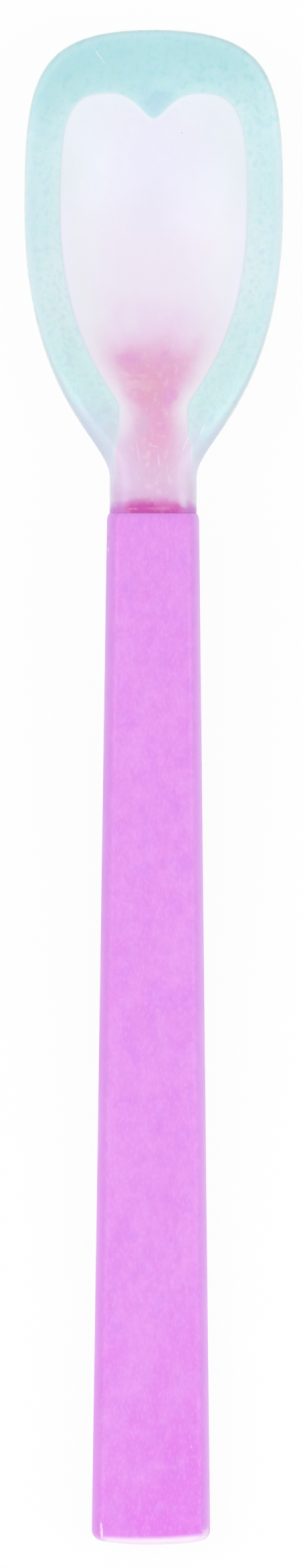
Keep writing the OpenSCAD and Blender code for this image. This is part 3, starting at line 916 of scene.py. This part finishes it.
# A pale gleam runs along the upper edge of the far end and round its right corner.
end_bend = calc(tree, "POWER", calc(tree, "DIVIDE", where["Across"], end_half), 2.0)
to_end = calc(tree, "MULTIPLY_ADD", end_bend, end_bow, where["Back"])
to_end = calc(tree, "MULTIPLY_ADD", where["Across"], 0.025, to_end)
end_gleam = fade(tree, to_end, end_at - 1.0, end_at - 0.38)
end_gleam = calc(tree, "MULTIPLY", end_gleam, fade(tree, where["Across"], -5.6, -4.2, 0.25, 1.0))
corner_spot = {"middle": (5.6, 149.3, 0), "half": (0.1, 0.3, 0), "soft": (0.6, 1.1, 1)}
corner_gleam = use_group(tree, soft_patch, **corner_spot)["Mask"]
end_gleam = calc(tree, "MAXIMUM", end_gleam, calc(tree, "MULTIPLY", corner_gleam, 0.8))
upper_edge = fade(tree, where["Up"], end_top - 2.0, end_top - 0.7)
handle_base = tint(tree, calc(tree, "MULTIPLY", end_gleam, upper_edge), handle_base, end_white)
# Painted glints: down the left corner of the far end, on a small pit near the right edge, and on the nick
# in the left edge.
handle_glints = [
    ((-4.97, 147.8), (-4.85, 149.35), 0.2, 1.0),
    ((4.0, 140.1), (4.0, 140.4), 0.1, 0.6),
    ((-4.44, 51.2), (-4.42, 51.6), 0.12, 0.9),
]
handle_nicks = [((-4.44, 49.9), (-4.42, 50.5), 0.2, 0.6)]
handle_base = paint_hairlines(tree, handle_base, handle_glints, scratch_and_glint_white)
handle_base = paint_hairlines(tree, handle_base, handle_nicks, nick_pink)
handle_skin = use_group(tree, moulded_skin, grain=0.45, smoothest=0.32, roughest=0.45)
feed(tree, shader["Base Color"], handle_base)
feed(tree, shader["Roughness"], handle_skin["Roughness"])
feed(tree, shader["Normal"], bump(tree, handle_skin["Height"], strength=0.35, distance=0.03))
shader["IOR"].default_value = 1.49
handle.data.materials.append(pink_plastic)
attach(handle, "root")
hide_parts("handle")


# Floor: a plain white sheet that the spoon lies on, just clear of the heel.
# It shows white to the camera and through the clear plastic, and keeps a faint contact shadow.
floor_half = 1.5
floor_drop = 0.0001
floor_mesh = bpy.data.meshes.new("floor")
floor_corners = [(-1, -1), (1, -1), (1, 1), (-1, 1)]
floor_points = [(x * floor_half, y * floor_half, -floor_drop) for x, y in floor_corners]
floor_mesh.from_pydata(floor_points, [], [(0, 1, 2, 3)])
floor = bpy.data.objects.new("floor", floor_mesh)
bpy.context.scene.collection.objects.link(floor)

sheet_grey = (0.93, 0.93, 0.93, 1)
sheet_white = (0.96, 0.96, 0.96, 1)
sheet_grain = 6.0
sheet_clean = 0.93


# Rays that meet plain white: those from the camera, in part or in full, and those bounced or let through.
def seen_white(tree, camera_share):
    path = add(tree, "LightPath").outputs
    straight = calc(tree, "MULTIPLY", path["Is Camera Ray"], camera_share)
    bounced = calc(tree, "MAXIMUM", path["Is Glossy Ray"], path["Is Transmission Ray"])
    return calc(tree, "MAXIMUM", straight, bounced)


white_sheet, tree, shader = new_material("white_sheet")
sheet_glow = add(tree, "Emission")
feed(tree, sheet_glow.inputs["Strength"], 1.0)
sheet_mix = add(tree, "MixShader")
feed(tree, sheet_mix.inputs[0], seen_white(tree, sheet_clean))
sheet_cloud = add(tree, "TexNoise")
feed(tree, sheet_cloud.inputs["Scale"], sheet_grain)
feed(tree, shader["Base Color"], tint(tree, sheet_cloud.outputs["Fac"], sheet_grey, sheet_white))
feed(tree, shader["Roughness"], 0.9)
feed(tree, shader["Specular IOR Level"], 0.0)
feed(tree, sheet_mix.inputs[1], tree.nodes["Principled BSDF"].outputs[0])
feed(tree, sheet_mix.inputs[2], sheet_glow.outputs[0])
feed(tree, tree.nodes["Material Output"].inputs["Surface"], sheet_mix.outputs[0])
floor_mesh.materials.append(white_sheet)


# Light: an even white room, two large soft boxes above, and a low strip beyond the handle's end.
# The soft boxes stand to either side of the camera, and the strip picks out the rounded end.
room = bpy.data.worlds.new("white_room")
room.use_nodes = True
bpy.context.scene.world = room
tree = room.node_tree
room_light = tree.nodes["Background"].inputs
room_light["Color"].default_value = (1, 1, 1, 1)
room_dim = 0.55
feed(tree, room_light["Strength"], fade(tree, seen_white(tree, 1.0), 0.0, 1.0, room_dim, 1.0))


def soft_box(name, stand_at, aim, width, length, power):
    lamp = bpy.data.lights.new(name, "AREA")
    lamp.shape = "RECTANGLE"
    lamp.size = width
    lamp.size_y = length
    lamp.energy = power
    stand = bpy.data.objects.new(name, lamp)
    stand.location = stand_at
    stand.rotation_euler = (Vector(aim) - Vector(stand_at)).to_track_quat("-Z", "Y").to_euler()
    stand.visible_camera = False
    bpy.context.scene.collection.objects.link(stand)


spoon_middle = (0, 0, 0)
handle_end = (0, end_at * MM / -2, 0.002)
soft_box("left_box", (-0.55, 0.1, 0.75), spoon_middle, 0.6, 0.8, 2.75)
soft_box("right_box", (0.6, -0.1, 0.7), spoon_middle, 0.6, 0.8, 2.35)
soft_box("end_strip", (0, -0.4, 0.16), handle_end, 0.3, 0.05, 0.25)


# Camera: straight above the spoon with a long lens, its top edge towards the bowl's tip.
camera_up = 1.2
view_height = 155.28 * MM
view_level = 6.0 * MM
view_across = -0.1 * MM
view_along = 0.478 * MM
view_roll = math.radians(0.12)
sensor_width = 36.0
lens_camera = bpy.data.cameras.new("camera")
lens_camera.sensor_width = sensor_width
lens_camera.lens = sensor_width * camera_up / view_height
lens_camera.clip_end = 10.0
camera = bpy.data.objects.new("camera", lens_camera)
camera.location = (view_across, view_along, camera_up + view_level)
camera.rotation_euler = (0, 0, view_roll)
bpy.context.scene.collection.objects.link(camera)
bpy.context.scene.camera = camera
bpy.context.scene.view_settings.view_transform = "Standard"
